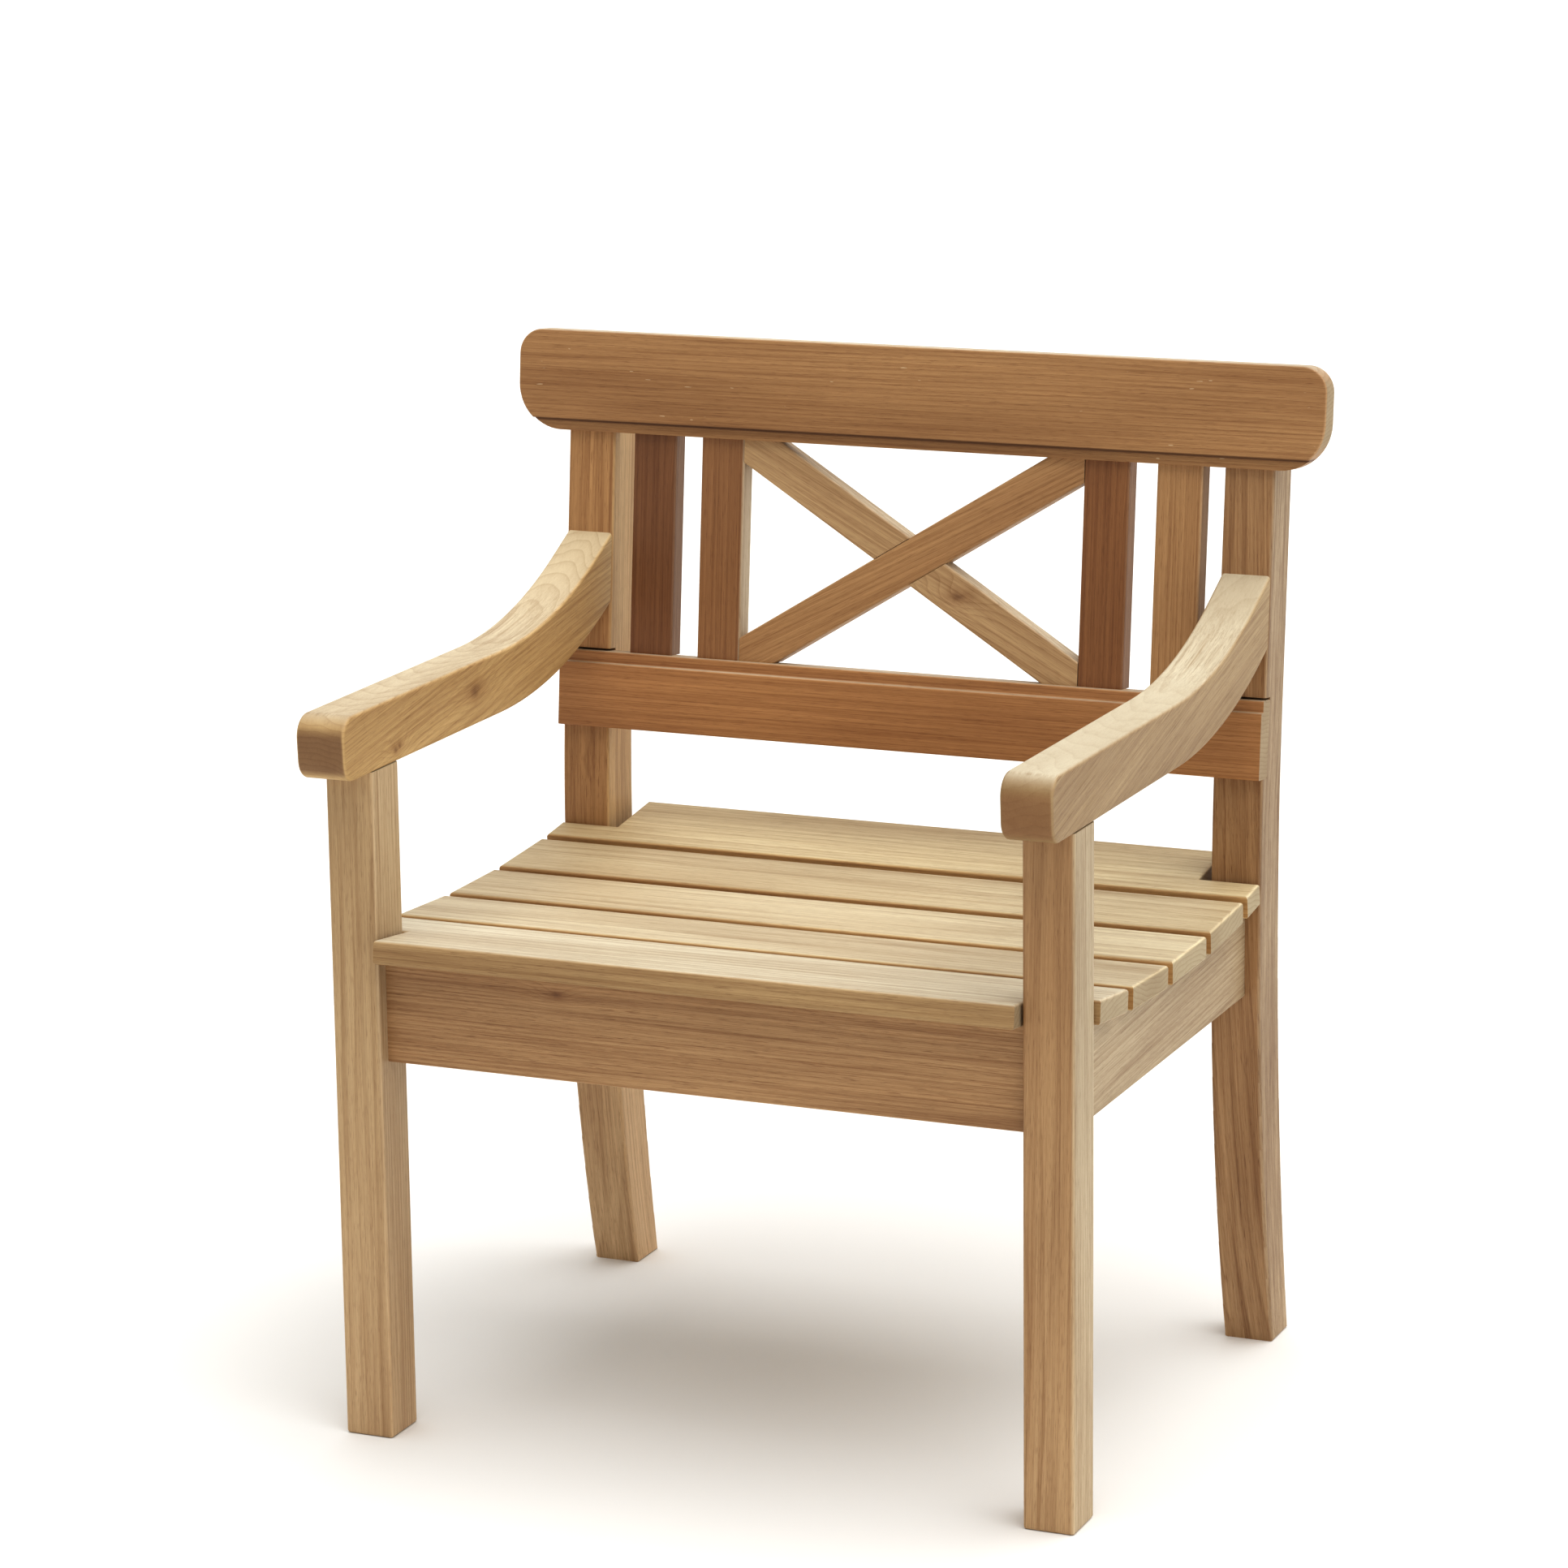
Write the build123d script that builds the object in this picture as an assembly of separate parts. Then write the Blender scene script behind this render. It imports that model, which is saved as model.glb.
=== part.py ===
from build123d import *
from math import atan2, cos, degrees, radians, sin, sqrt, tan
import os

os.makedirs("parts", exist_ok=True)

# A one-seat teak garden armchair: a jointed frame with a dished seat of five
# slats, and a leaning back with four upright slats and a diagonal cross.
# While the pieces are built, Y runs back from the front face of the front legs,
# X runs to the right of a person who looks at the chair from the front, and Z
# runs up from the floor. write() moves every piece to the final origin, which
# is the middle of the whole chair on the floor. Left and right are the viewer's.

# Overall size
overall_height = 860.0
overall_depth = 586.0
arm_overhang = 48.0

# Front legs
front_half_width = 322.0
front_leg_width = 43.0
front_leg_depth = 46.0
leg_edge = 3.0
foot_edge = 2.8

# Back legs: the foot sweeps back, the middle is upright, the top leans back
back_half_width = 325.5
back_leg_width = 44.0
leg_front_y = 448.5
leg_rear_y = 500.0
foot_front_y = 495.0
foot_rear_y = 538.0
foot_sweep_height = 370.0
foot_rear_sweep_height = 400.0
bend_start_z = 410.0
rear_bend_start_z = 430.0
bend_radius = 1400.0
back_lean = 5.7
rear_lean = 5.0
post_edge = 2.5

# Arms
arm_thickness = 53.5
arm_underside = 567.5
arm_curve_start_y = 241.0
arm_curve_radius = 438.0
arm_curve_sweep = 26.0
arm_tail_length = 50.0
arm_nose_slant = 3.0
arm_nose_top_radius = 18.0
arm_nose_bottom_radius = 17.0
arm_edge = 3.0
arm_tail_shift = 3.0

# Seat
seat_dish_y = 250.0
seat_dish_z = 411.5
seat_dish_radius = 1720.0
slat_thickness = 20.0
slat_gap = 11.0
middle_slat_width = 84.5
front_slat_front_y = -11.0
front_slat_width = 126.0
rear_slat_width = 100.5
slat_edge = 3.0
nosing_half_length = 277.0
front_notch_end_y = 50.0
rear_notch_start_y = 445.5
rear_tongue_half_length = 272.0

# Seat rails
rail_bottom = 322.0
rail_thickness = 22.0
side_rail_outer_x = 312.0
front_rail_y = 13.0
rear_rail_y = 470.0
rail_edge = 2.0
tenon_thickness = 10.0
tenon_bottom = 338.0
tenon_height = 50.0
side_tenon_front_length = 14.0
side_tenon_rear_y = 466.0
front_tenon_length = 16.0
rear_tenon_length = 18.0

# Back rails, which are let into the fronts of the back legs
back_rail_proud = 10.5
back_rail_thickness = 22.0
lower_rail_z = 511.8
lower_rail_height = 67.0
rebate_height = 10.0
rebate_depth = 5.0
housing_gap = 2.0
crest_height = 88.0
crest_half_length = 371.0
crest_top_radius = 22.0
crest_bottom_radius = 40.0
crest_over_leg = 14.0
back_rail_edge = 2.0
lower_rail_edge = 1.5

# Back slats and cross
back_slat_width = 40.5
inner_slat_x = 157.0
outer_slat_x = 222.0
back_slat_thickness = 20.0
back_slat_edge = 2.0
slat_tenon_width = 32.5
slat_tenon_thickness = 7.0
slat_tenon_length = 18.0
slat_tenon_setback = 1.5
cross_width = 35.0
cross_thickness = 20.0

# Joinery inside the arms, and fixings
leg_tenon_width = 23.0
leg_tenon_depth = 26.0
leg_tenon_height = 30.0
arm_tenon_width = 21.0
arm_tenon_bottom = 634.0
arm_tenon_height = 32.0
arm_tenon_end_y = 486.0
dowel_diameter = 8.0
dowel_length = 36.0
dowel_in_slat = 12.0
cross_dowel_diameter = 6.0
cross_dowel_length = 28.0
screw_diameter = 5.0
screw_head_diameter = 9.0
screw_head_height = 4.0
screw_head_rim = 1.0
screw_point_length = 5.0
screw_point_radius = 0.4
screw_slot_reach = 0.6
screw_slot_width = 1.2
screw_slot_depth = 1.8
screw_head_recess = 0.5
rail_screw_length = 46.0
lower_screw_low = 16.0
lower_screw_high = 42.0
crest_screw_low = 24.0
crest_screw_high = 62.0
arm_screw_length = 70.0
lap_screw_length = 16.0
lap_screw_diameter = 3.5
lap_screw_head_diameter = 7.0
plug_diameter = 12.0
plug_length = 8.0
dowel_inset = 20.0
cross_rail_dowel_x = 150.0

# How far cutting shapes reach past what they cut
cut_reach = 150.0

origin = Pos(0, arm_overhang - overall_depth / 2, 0)


def write(node, shape):
    """Write one node at the final origin."""
    export_step(origin * shape, "parts/" + node + ".step")


def block(x0, x1, y0, y1, z0, z1):
    """A box between two corners."""
    middle = Pos((x0 + x1) / 2, (y0 + y1) / 2, (z0 + z1) / 2)
    return middle * Box(x1 - x0, y1 - y0, z1 - z0)


def side_plate(outline, x0, x1):
    """Extrude a closed side outline, drawn in Y and Z, from x0 to x1."""
    face = make_face(Plane.YZ.offset(x0) * outline)
    return extrude(face, amount=x1 - x0, dir=(1, 0, 0))


def other_side(shape):
    """The same piece on the left of the chair."""
    return mirror(shape, about=Plane.YZ)


def sweep_radius(run, rise):
    """Radius of the arc that leaves the vertical and moves sideways by run over rise."""
    return (run * run + rise * rise) / (2 * run)


def leg_side(y_upright, y_foot, foot_height, bend_z, lean, top_z):
    """One long edge of a back leg, from the foot to the top: arc, line, arc, line."""
    radius = sweep_radius(y_foot - y_upright, foot_height)
    foot_angle = degrees(atan2(foot_height, radius - (y_foot - y_upright)))
    foot = JernArc((y_upright, foot_height), (0, -1), radius, foot_angle)
    upright = Line((y_upright, foot_height), (y_upright, bend_z))
    bend = JernArc((y_upright, bend_z), (0, 1), bend_radius, -lean)
    rise = top_z - (bend @ 1).Y
    upper = Line(bend @ 1, (bend @ 1) + Vector(rise * tan(radians(lean)), rise))
    return [foot, upright, bend, upper]


# The plane of the back: it touches the leaning fronts of the back legs. Its own
# x runs along X, its y runs up the lean, and its z points forwards to the sitter.
lean_sin = sin(radians(back_lean))
lean_cos = cos(radians(back_lean))
bend_end_y = leg_front_y + bend_radius * (1 - lean_cos)
bend_end_z = bend_start_z + bend_radius * lean_sin
back_plane = Plane(
    origin=(0, bend_end_y + (lower_rail_z - bend_end_z) * tan(radians(back_lean)), lower_rail_z),
    x_dir=(1, 0, 0),
    z_dir=(0, -lean_cos, lean_sin),
)
crest_top = (overall_height - lower_rail_z - back_rail_proud * lean_sin) / lean_cos
crest_bottom = crest_top - crest_height
back_rail_rear = back_rail_proud - back_rail_thickness


def on_back(shape):
    """Place a shape that is drawn in the plane of the back."""
    return back_plane.location * shape


# Seat surface: each slat lies flat on a tangent of one long arc
slat_fronts = [front_slat_front_y]
slat_widths = [front_slat_width] + 3 * [middle_slat_width] + [rear_slat_width]
for width in slat_widths[:-1]:
    slat_fronts.append(slat_fronts[-1] + width + slat_gap)
slat_middles = [front + width / 2 for front, width in zip(slat_fronts, slat_widths)]


# The rails' top edges are cut to one flat bed for each slat. Beds next to each
# other meet in the middle of the gap between their slats.
seat_gradients = [(middle - seat_dish_y) / seat_dish_radius for middle in slat_middles]
gap_middles = [front - slat_gap / 2 for front in slat_fronts[1:]]
lowest = 2
bed_bases = [0.0] * len(slat_widths)
bed_bases[lowest] = seat_dish_z - slat_thickness - seat_gradients[lowest] * seat_dish_y
for index in range(lowest - 1, -1, -1):
    turn = seat_gradients[index + 1] - seat_gradients[index]
    bed_bases[index] = bed_bases[index + 1] + turn * gap_middles[index]
for index in range(lowest + 1, len(slat_widths)):
    turn = seat_gradients[index - 1] - seat_gradients[index]
    bed_bases[index] = bed_bases[index - 1] + turn * gap_middles[index - 1]
bed_lines = list(zip(bed_bases, seat_gradients))


def slat_plane(index):
    """Plane of a slat's top face: x along the slat, y backwards, z up."""
    slope = atan2(seat_gradients[index], 1)
    bed = bed_bases[index] + seat_gradients[index] * slat_middles[index]
    return Plane(
        origin=(0, slat_middles[index], bed + slat_thickness / cos(slope)),
        x_dir=(1, 0, 0),
        z_dir=(0, -sin(slope), cos(slope)),
    )


def bed_height(y):
    """Height of the rails' top edges, on which the slats lie."""
    return max(base + gradient * y for base, gradient in bed_lines)


def bed_knees(y0, y1):
    """Points between y0 and y1 where the bed of one slat meets the next."""
    return [(y, bed_height(y)) for y in gap_middles if y0 < y < y1]


def bed_outline(y0, y1):
    """Side outline of a seat rail: flat below, following the slats above."""
    points = [(y0, rail_bottom), (y0, bed_height(y0))]
    points += bed_knees(y0, y1)
    points += [(y1, bed_height(y1)), (y1, rail_bottom)]
    return Polyline(*points, close=True)


# Back legs ------------------------------------------------------------------
post_inner_x = back_half_width - back_leg_width
post_front = leg_side(leg_front_y, foot_front_y, foot_sweep_height,
                      bend_start_z, back_lean, overall_height)
post_rear = leg_side(leg_rear_y, foot_rear_y, foot_rear_sweep_height,
                     rear_bend_start_z, rear_lean, overall_height)
post_ends = [
    Line(post_front[0] @ 1, post_rear[0] @ 1),
    Line(post_front[3] @ 1, post_rear[3] @ 1),
]
post_outline = Wire(post_front + post_rear + post_ends)
post_prism = side_plate(post_outline, post_inner_x, back_half_width)
post_sides = post_prism.faces().sort_by(Axis.X)
post_side_edges = post_sides[0].edges() + post_sides[-1].edges()
post_eased_edges = [edge for edge in post_side_edges
                    if edge.center().Z < overall_height - post_edge]
post_blank = fillet(post_eased_edges, post_edge)
above_post = on_back(block(-crest_half_length, crest_half_length, crest_top - crest_over_leg,
                           crest_top + cut_reach, -cut_reach, cut_reach))
post_blank -= above_post


# Lower back rail and crest rail ----------------------------------------------
def rebated(x_half, y0, y1, rebate_y0, rebate_y1):
    """A board in the plane of the back with a shallow rebate along one front edge."""
    board = block(-x_half, x_half, y0, y1, back_rail_rear, back_rail_proud)
    rebate = block(-x_half, x_half, rebate_y0, rebate_y1,
                   back_rail_proud - rebate_depth, back_rail_proud)
    return board - rebate


lower_rail_blank = rebated(back_half_width, 0, lower_rail_height,
                           lower_rail_height - rebate_height, lower_rail_height)
lower_rail_blank = fillet(lower_rail_blank.edges().filter_by(Axis.X), lower_rail_edge)

crest_outline = Polyline(
    (-crest_half_length, crest_bottom), (crest_half_length, crest_bottom),
    (crest_half_length, crest_top), (-crest_half_length, crest_top), close=True)
crest_face = make_face(crest_outline)
crest_face = fillet(crest_face.vertices().sort_by(Axis.Y)[:2], crest_bottom_radius)
crest_face = fillet(crest_face.vertices().sort_by(Axis.Y)[-2:], crest_top_radius)
crest_prism = extrude(Pos(0, 0, back_rail_rear) * crest_face, amount=back_rail_thickness)
crest_faces = crest_prism.faces().sort_by(Axis.Z)
crest_blank = fillet(crest_faces[0].edges() + crest_faces[-1].edges(), back_rail_edge)
crest_blank -= block(-crest_half_length, crest_half_length,
                     crest_bottom, crest_bottom + rebate_height,
                     back_rail_proud - rebate_depth, back_rail_proud)

lower_housing = block(-back_half_width, back_half_width, 0, lower_rail_height + housing_gap,
                      back_rail_rear, back_rail_proud)
crest_housing = block(-back_half_width, back_half_width, crest_bottom, crest_top,
                      back_rail_rear, back_rail_proud)
post_blank -= on_back(lower_housing)
post_blank -= on_back(crest_housing)


# Back slats -------------------------------------------------------------------
def back_slat_body(x0):
    """One upright slat, without its tenons."""
    body = block(x0, x0 + back_slat_width, lower_rail_height, crest_bottom,
                 -back_slat_thickness, 0)
    return fillet(body.edges().filter_by(Axis.Y), back_slat_edge)


def back_slat_tenons(x0):
    """Tenons of one upright slat, which enter the rails below and above it."""
    middle = x0 + back_slat_width / 2
    lower_y = lower_rail_height - slat_tenon_length
    front = -slat_tenon_setback
    rear = front - slat_tenon_thickness
    x_range = (middle - slat_tenon_width / 2, middle + slat_tenon_width / 2)
    lower = block(*x_range, lower_y, lower_rail_height, rear, front)
    upper = block(*x_range, crest_bottom, crest_bottom + slat_tenon_length, rear, front)
    return lower + upper


slat_starts = [-outer_slat_x - back_slat_width, -inner_slat_x - back_slat_width,
               inner_slat_x, outer_slat_x]
slat_tenons = [back_slat_tenons(x0) for x0 in slat_starts]
back_slats = [back_slat_body(x0) + tenons for x0, tenons in zip(slat_starts, slat_tenons)]
lower_rail = lower_rail_blank
crest = crest_blank
for tenons in slat_tenons:
    lower_rail -= tenons
    crest -= tenons


# Cross in the middle of the back ----------------------------------------------
opening_height = crest_bottom - lower_rail_height
opening_middle = lower_rail_height + opening_height / 2
cross_angle = degrees(atan2(opening_height, 2 * inner_slat_x))
cross_length = 2 * sqrt(inner_slat_x ** 2 + (opening_height / 2) ** 2) + 2 * cross_width
opening = block(-inner_slat_x, inner_slat_x, lower_rail_height, crest_bottom,
                -cross_thickness, 0)


def cross_bar(angle, z0, z1, edge):
    """A diagonal bar of the cross between two depths, cut to the opening."""
    bar = block(-cross_length / 2, cross_length / 2, -cross_width / 2, cross_width / 2, z0, z1)
    if edge:
        bar = fillet(bar.edges().filter_by(Axis.X), edge)
    return opening & (Pos(0, opening_middle, 0) * Rot(0, 0, angle) * bar)


half_lap = -cross_thickness / 2
rising_bar = cross_bar(cross_angle, -cross_thickness, 0, back_slat_edge)
rising_bar -= cross_bar(-cross_angle, -cross_thickness, half_lap, 0)
falling_bar = cross_bar(-cross_angle, -cross_thickness, 0, back_slat_edge)
falling_bar -= cross_bar(cross_angle, half_lap, 0, 0)


def rod(diameter, length):
    """A round rod that starts at the origin and runs along +Z."""
    return extrude(Circle(diameter / 2), amount=length)


cross_dowels = []
dowel_height = cross_width / 2 / cos(radians(cross_angle)) / 2
for side in (-1, 1):
    for y in (lower_rail_height + dowel_height, crest_bottom - dowel_height):
        start = Pos(side * (inner_slat_x - cross_dowel_length / 2), y, half_lap)
        lying = Rot(0, side * 90, 0) * rod(cross_dowel_diameter, cross_dowel_length)
        cross_dowels.append(start * lying)
for dowel in cross_dowels:
    rising_bar -= dowel
    falling_bar -= dowel
    back_slats = [slat - dowel for slat in back_slats]


# Screws -----------------------------------------------------------------------
def screw(length, diameter, head_diameter):
    """A countersunk wood screw: the head's face at the origin, the point along +Z."""
    on_base = (Align.CENTER, Align.CENTER, Align.MIN)
    rim = rod(head_diameter, screw_head_rim)
    taper = Cone(head_diameter / 2, diameter / 2, screw_head_height - screw_head_rim, align=on_base)
    shank = rod(diameter, length - screw_head_height - screw_point_length)
    point = Cone(diameter / 2, screw_point_radius, screw_point_length, align=on_base)
    return (rim + Pos(0, 0, screw_head_rim) * taper + Pos(0, 0, screw_head_height) * shank
            + Pos(0, 0, length - screw_point_length) * point)


def drive_slot(head_diameter):
    """The cross-shaped recess in a screw's head."""
    bar = Box(head_diameter * screw_slot_reach, screw_slot_width, screw_slot_depth,
              align=(Align.CENTER, Align.CENTER, Align.MIN))
    return bar + Rot(0, 0, 90) * bar


def slotted(screws, head_diameter, places):
    """The screws at their places, each with its drive recess."""
    return [place * (screws - drive_slot(head_diameter)) for place in places]


def post_rear_depth(height):
    """Depth of a back leg's rear face behind the plane of the back, at a height up it."""
    start = (back_plane.location * Pos(0, height, 0)).position
    gradient = tan(radians(rear_lean))
    rear_start = post_rear[3] @ 0
    gap = rear_start.X + gradient * (start.Z - rear_start.Y) - start.Y
    return gap / (lean_cos + gradient * lean_sin)


post_middle_x = (post_inner_x + back_half_width) / 2
rail_screw = screw(rail_screw_length, screw_diameter, screw_head_diameter)
rail_screw_places = []
for height in (lower_screw_low, lower_screw_high,
               crest_bottom + crest_screw_low, crest_bottom + crest_screw_high):
    head_z = -post_rear_depth(height) + screw_head_recess
    for x in (-post_middle_x, post_middle_x):
        rail_screw_places.append(back_plane.location * Pos(x, height, head_z))
rail_screws = [place * rail_screw for place in rail_screw_places]
rail_counterbores = [place * Pos(0, 0, -screw_head_recess * 2)
                     * rod(screw_head_diameter, screw_head_recess * 2)
                     for place in rail_screw_places]
lower_rail = on_back(lower_rail)
crest = on_back(crest)
for shape in rail_screws:
    lower_rail -= shape
    crest -= shape

lap_screw = screw(lap_screw_length, lap_screw_diameter, lap_screw_head_diameter)
lap_screw_place = back_plane.location * Pos(0, opening_middle, -cross_thickness)
rising_bar = on_back(rising_bar) - lap_screw_place * lap_screw
falling_bar = on_back(falling_bar) - lap_screw_place * lap_screw


# Arms -------------------------------------------------------------------------
arm_inner_x = front_half_width - front_leg_width
arm_middle_x = (arm_inner_x + front_half_width) / 2
arm_top = arm_underside + arm_thickness
arm_centre = Vector(arm_curve_start_y, arm_top + arm_curve_radius)


def arm_arc(radius):
    """One long edge of the curved stretch of an arm, from the level part to the post."""
    return CenterArc(arm_centre, radius, -90, arm_curve_sweep)


upper_arc = arm_arc(arm_curve_radius)
lower_arc = arm_arc(arm_curve_radius + arm_thickness)
nose_corner_angle = radians((90 - arm_nose_slant) / 2)
nose_cut = arm_nose_top_radius / tan(nose_corner_angle) - arm_nose_top_radius
nose_top = (-arm_overhang - nose_cut, arm_top)
nose_bottom = (nose_top[0] + arm_thickness * tan(radians(arm_nose_slant)), arm_underside)
nose = FilletPolyline(upper_arc @ 0, nose_top, nose_bottom, lower_arc @ 0,
                      radius=[arm_nose_top_radius, arm_nose_bottom_radius])
upper_tail = PolarLine(upper_arc @ 1, arm_tail_length, direction=upper_arc % 1)
lower_tail = PolarLine(lower_arc @ 1, arm_tail_length, direction=lower_arc % 1)
arm_outline = Wire(nose.edges() + [upper_arc, upper_tail, lower_arc, lower_tail,
                                   Line(upper_tail @ 1, lower_tail @ 1)])
splay = degrees(atan2(arm_tail_shift, leg_front_y))
pivot = Pos(arm_middle_x, 0, 0)
arm = pivot * Rot(0, 0, -splay) * pivot.inverse() * side_plate(
    arm_outline, arm_inner_x, front_half_width)
behind_fronts = block(0, crest_half_length, 0, crest_top, -2 * back_leg_width, 0)
arm = (arm - on_back(behind_fronts)).solids().sort_by(Axis.Y)[0]
arm_end = arm.faces().sort_by(Axis.Y)[-1]
arm_sides = arm.faces().sort_by(Axis.X)
arm_long_edges = [edge for edge in arm_sides[0].edges() + arm_sides[-1].edges()
                  if not any(edge.is_same(end_edge) for end_edge in arm_end.edges())]
arm = fillet(arm_long_edges, arm_edge)
arm_tenon = block(post_middle_x - arm_tenon_width / 2, post_middle_x + arm_tenon_width / 2,
                  leg_front_y, arm_tenon_end_y,
                  arm_tenon_bottom, arm_tenon_bottom + arm_tenon_height)
arm_tenon &= post_prism
arm += arm_tenon

arm_screw = screw(arm_screw_length, screw_diameter, screw_head_diameter)
arm_screw_z = arm_tenon_bottom + arm_tenon_height / 2
arm_screw_rear_y = (post_rear[3] @ 0).X + tan(radians(rear_lean)) * (
    arm_screw_z - (post_rear[3] @ 0).Y)
arm_screw_place = Pos(post_middle_x, arm_screw_rear_y - plug_length, arm_screw_z) * Rot(90, 0, 0)
arm_screw_solid = arm_screw_place * arm_screw
plug_hole = arm_screw_place * Pos(0, 0, -2 * plug_length) * rod(plug_diameter, 2 * plug_length)
arm_plug = plug_hole & post_prism
arm -= arm_screw_solid


# Front legs -------------------------------------------------------------------
leg = block(arm_inner_x, front_half_width, 0, front_leg_depth, 0, arm_underside)
leg = fillet(leg.edges().filter_by(Axis.Z), leg_edge)
leg = fillet(leg.faces().sort_by(Axis.Z)[0].edges(), foot_edge)
leg_tenon = block(arm_middle_x - leg_tenon_width / 2, arm_middle_x + leg_tenon_width / 2,
                  (front_leg_depth - leg_tenon_depth) / 2, (front_leg_depth + leg_tenon_depth) / 2,
                  arm_underside, arm_underside + leg_tenon_height)
leg += leg_tenon
arm -= leg_tenon


# Seat rails -------------------------------------------------------------------
side_rail_inner_x = side_rail_outer_x - rail_thickness
side_rail_middle_x = (side_rail_inner_x + side_rail_outer_x) / 2
tenon_top = tenon_bottom + tenon_height
side_rail = side_plate(bed_outline(front_leg_depth, leg_front_y + tenon_thickness),
                       side_rail_inner_x, side_rail_outer_x)
side_rail = fillet(side_rail.faces().sort_by(Axis.Z)[0].edges().filter_by(Axis.Y), rail_edge)
side_rail -= post_prism
side_tenon_x = (side_rail_middle_x - tenon_thickness / 2, side_rail_middle_x + tenon_thickness / 2)
side_tenon_front = block(*side_tenon_x, front_leg_depth - side_tenon_front_length,
                         front_leg_depth, tenon_bottom, tenon_top)
side_tenon_rear = block(*side_tenon_x, leg_front_y - tenon_thickness, side_tenon_rear_y,
                        tenon_bottom, tenon_top) & post_prism
side_rail += side_tenon_front + side_tenon_rear


def cross_rail(y, half_length, tenon_length):
    """A seat rail between two legs, with its bed, and its two tenons."""
    rail = side_plate(bed_outline(y, y + rail_thickness), -half_length, half_length)
    rail = fillet(rail.faces().sort_by(Axis.Z)[0].edges().filter_by(Axis.X), rail_edge)
    middle_y = y + rail_thickness / 2
    reach = half_length + tenon_length
    tenons = block(-reach, reach, middle_y - tenon_thickness / 2, middle_y + tenon_thickness / 2,
                   tenon_bottom, tenon_top)
    tenons -= block(-half_length, half_length, y, y + rail_thickness, tenon_bottom, tenon_top)
    return rail + tenons, tenons


front_rail, front_rail_tenons = cross_rail(front_rail_y, arm_inner_x, front_tenon_length)
rear_rail, rear_rail_tenons = cross_rail(rear_rail_y, post_inner_x, rear_tenon_length)
leg -= side_tenon_front
leg -= front_rail_tenons

back_leg = post_blank
for shape in rail_screws + rail_counterbores:
    back_leg -= shape
for shape in (arm_tenon, arm_screw_solid, plug_hole, side_tenon_rear, rear_rail_tenons):
    back_leg -= shape


# Seat slats -------------------------------------------------------------------
def slat_outline(front_y, rear_y, middle_y):
    """Plan outline of a seat slat, notched round any leg that it meets."""
    front = front_y - middle_y
    rear = rear_y - middle_y
    half = back_half_width
    points = [(-half, rear), (-half, front), (half, front), (half, rear)]
    if front_y < 0:
        notch = front_notch_end_y - middle_y
        points[1:3] = [(-half, notch), (-nosing_half_length, notch), (-nosing_half_length, front),
                       (nosing_half_length, front), (nosing_half_length, notch), (half, notch)]
    if rear_y > leg_front_y:
        notch = rear_notch_start_y - middle_y
        tongue = rear_tongue_half_length
        points[0:1] = [(-tongue, rear), (-tongue, notch), (-half, notch)]
        points[-1:] = [(half, notch), (tongue, notch), (tongue, rear)]
    return Polyline(*points, close=True)


def seat_slat(index):
    """One seat slat with eased edges, lying on its part of the dish."""
    front_y = slat_fronts[index]
    rear_y = front_y + slat_widths[index]
    face = make_face(slat_outline(front_y, rear_y, slat_middles[index]))
    slat = extrude(Pos(0, 0, -slat_thickness) * face, amount=slat_thickness)
    ends = slat.faces().sort_by(Axis.Z)
    slat = fillet(ends[0].edges() + ends[-1].edges(), slat_edge)
    return slat_plane(index).location * slat


def dowel_places():
    """Where the dowels stand: each is named by its slat, and by X and Y on the plan."""
    places = []
    for index, (front_y, width) in enumerate(zip(slat_fronts, slat_widths)):
        for y in (front_y + dowel_inset, front_y + width - dowel_inset):
            over_side_rail = front_leg_depth + dowel_inset < y < leg_front_y - dowel_diameter
            if over_side_rail:
                places += [(index, side * side_rail_middle_x, y) for side in (-1, 1)]
    for index, rail_y in ((0, front_rail_y), (len(slat_fronts) - 1, rear_rail_y)):
        y = rail_y + rail_thickness / 2
        places += [(index, side * cross_rail_dowel_x, y) for side in (-1, 1)]
    return places


seat_dowels = []
for index, x, y in dowel_places():
    base = -slat_thickness + dowel_in_slat - dowel_length
    place = slat_plane(index).location * Pos(x, y - slat_middles[index], base)
    seat_dowels.append(place * rod(dowel_diameter, dowel_length))

seat_slats = [seat_slat(index) for index in range(len(slat_widths))]
for dowel in seat_dowels:
    seat_slats = [slat - dowel for slat in seat_slats]
    front_rail -= dowel
    rear_rail -= dowel
    if dowel.center().X > 0:
        side_rail -= dowel


# Output -----------------------------------------------------------------------
for name, shape in (("front_leg", leg), ("back_leg", back_leg), ("armrest", arm),
                    ("side_seat_rail", side_rail)):
    write(name + "_right", shape)
    write(name + "_left", other_side(shape))
write("front_seat_rail", front_rail)
write("back_seat_rail", rear_rail)
for number, shape in enumerate(seat_slats, start=1):
    write("seat_slat_" + str(number), shape)
write("lower_back_rail", lower_rail)
write("crest_rail", crest)
for number, shape in enumerate(back_slats, start=1):
    write("back_slat_" + str(number), on_back(shape))
write("back_cross_rising", rising_bar)
write("back_cross_falling", falling_bar)
write("back_cross_dowels", Compound([on_back(dowel) for dowel in cross_dowels]))
write("back_cross_screw", slotted(lap_screw, lap_screw_head_diameter, [lap_screw_place])[0])
write("seat_dowels", Compound(seat_dowels))
write("back_rail_screws", Compound(slotted(rail_screw, screw_head_diameter, rail_screw_places)))
arm_screws = slotted(arm_screw, screw_head_diameter, [arm_screw_place])
write("armrest_screws", Compound(arm_screws + [other_side(arm_screws[0])]))
write("armrest_plugs", Compound([arm_plug, other_side(arm_plug)]))
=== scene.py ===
from dataclasses import dataclass
from math import cos, e, pi, radians, sin

import bpy
from mathutils import Matrix, Vector


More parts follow.
